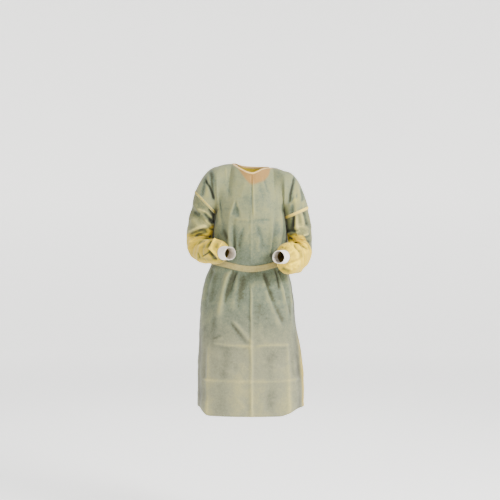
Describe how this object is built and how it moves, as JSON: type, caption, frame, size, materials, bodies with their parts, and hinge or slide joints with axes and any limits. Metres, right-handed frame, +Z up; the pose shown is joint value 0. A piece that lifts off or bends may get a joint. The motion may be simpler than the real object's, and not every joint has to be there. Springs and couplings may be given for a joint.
{
  "type": "worn protective gown",
  "caption": "Long hollow nonwoven gown in its wearer's pose: dropped shoulders, bent sleeves with knitted cuffs, open neck and hem, tied at the waist behind.",
  "frame": {"origin": "between the shoulders, level with the top of the shoulder line, where the wearer holds the gown up", "axes": "+Z up as worn, -Y out of the chest, +X to the wearer's left"},
  "size_m": [0.5514, 0.4471, 1.0901],
  "materials": {
    "nonwoven_body": "matt, thin and slightly see-through pale yellow that reads as sage over a dark layer",
    "nonwoven_sleeve": "matt, thin and slightly see-through pale yellow",
    "nonwoven_double": "matt, two layers of the pale yellow cloth",
    "white_knit": "matt ribbed knit",
    "white_tape": "matt hook-and-loop tape"
  },
  "bodies": {
    "root": {"front_panel": "nonwoven_body", "back_panel_right": "nonwoven_body", "back_panel_left": "nonwoven_body", "sleeve_right": "nonwoven_sleeve", "sleeve_left": "nonwoven_sleeve", "sleeve_seam_right": "nonwoven_double", "sleeve_seam_left": "nonwoven_double", "cuff_right": "white_knit", "cuff_left": "white_knit", "neck_binding": "nonwoven_double", "neck_loop_strip": "white_tape", "neck_hook_tab": "white_tape", "waist_tie": "nonwoven_double", "tie_knot": "nonwoven_double", "tie_tail_right": "nonwoven_double", "tie_tail_left": "nonwoven_double"}
  },
  "joints": []
}
